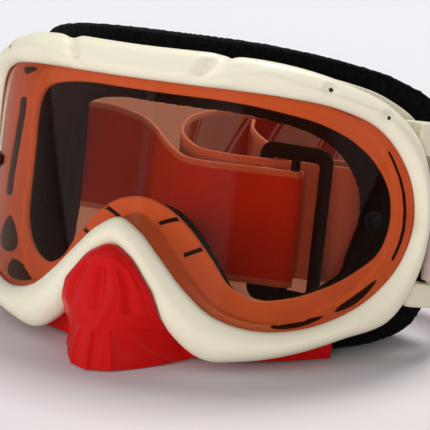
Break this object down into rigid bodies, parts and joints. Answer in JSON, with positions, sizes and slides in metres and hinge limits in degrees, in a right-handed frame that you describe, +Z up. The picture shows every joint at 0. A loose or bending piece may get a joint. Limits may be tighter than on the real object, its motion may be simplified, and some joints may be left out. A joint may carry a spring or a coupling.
{
  "type": "motocross goggles",
  "caption": "Off-road riding goggles with a moulded frame, tinted lens with tear-off posts, layered face foam, clip-on nose guard and an elastic strap with a slider.",
  "frame": {"origin": "middle of the bounding box's bottom face, on the surface that the goggles rest on", "axes": "+X towards the wearer's left, which is the image's right and the goggles' longest extent; +Y from the lens towards the face; +Z up"},
  "size_m": [0.1854, 0.167, 0.1058],
  "materials": {
    "frame_shell": "satin ivory",
    "tinted_lens": "polished orange tint",
    "post_plastic": "gloss black",
    "foam": "open-cell foam, matt",
    "fleece": "brushed fleece",
    "guard_plastic": "gloss red",
    "webbing": "woven, printed",
    "slider_plastic": "gloss black"
  },
  "bodies": {
    "goggles": {"frame": "frame_shell", "lens": "tinted_lens", "tear_off_post_left": "post_plastic", "tear_off_post_right": "post_plastic", "post_cap_left": "post_plastic", "post_cap_right": "post_plastic", "face_foam_base": "foam", "face_foam_core": "foam", "face_fleece": "fleece", "vent_foam_top": "foam", "vent_foam_bottom": "foam", "vent_foam_left": "foam", "vent_foam_right": "foam", "strap_anchor_left": "frame_shell", "strap_anchor_right": "frame_shell", "strap_front": "webbing", "strap_rear": "webbing"},
    "slider": {"slider": "slider_plastic", "strap_slider_loop": "webbing"},
    "nose_guard": {"nose_guard": "guard_plastic"}
  },
  "joints": [
    {"name": "slider_slide", "type": "slide", "parent": "goggles", "child": "slider", "axis": [0.8829, 0.4592, -0.0976], "range_m": [-0.006, 0.006]},
    {"name": "nose_guard_pull", "type": "slide", "parent": "goggles", "child": "nose_guard", "axis": [0, -0.2079, -0.9781], "range_m": [0, 0.012]}
  ]
}
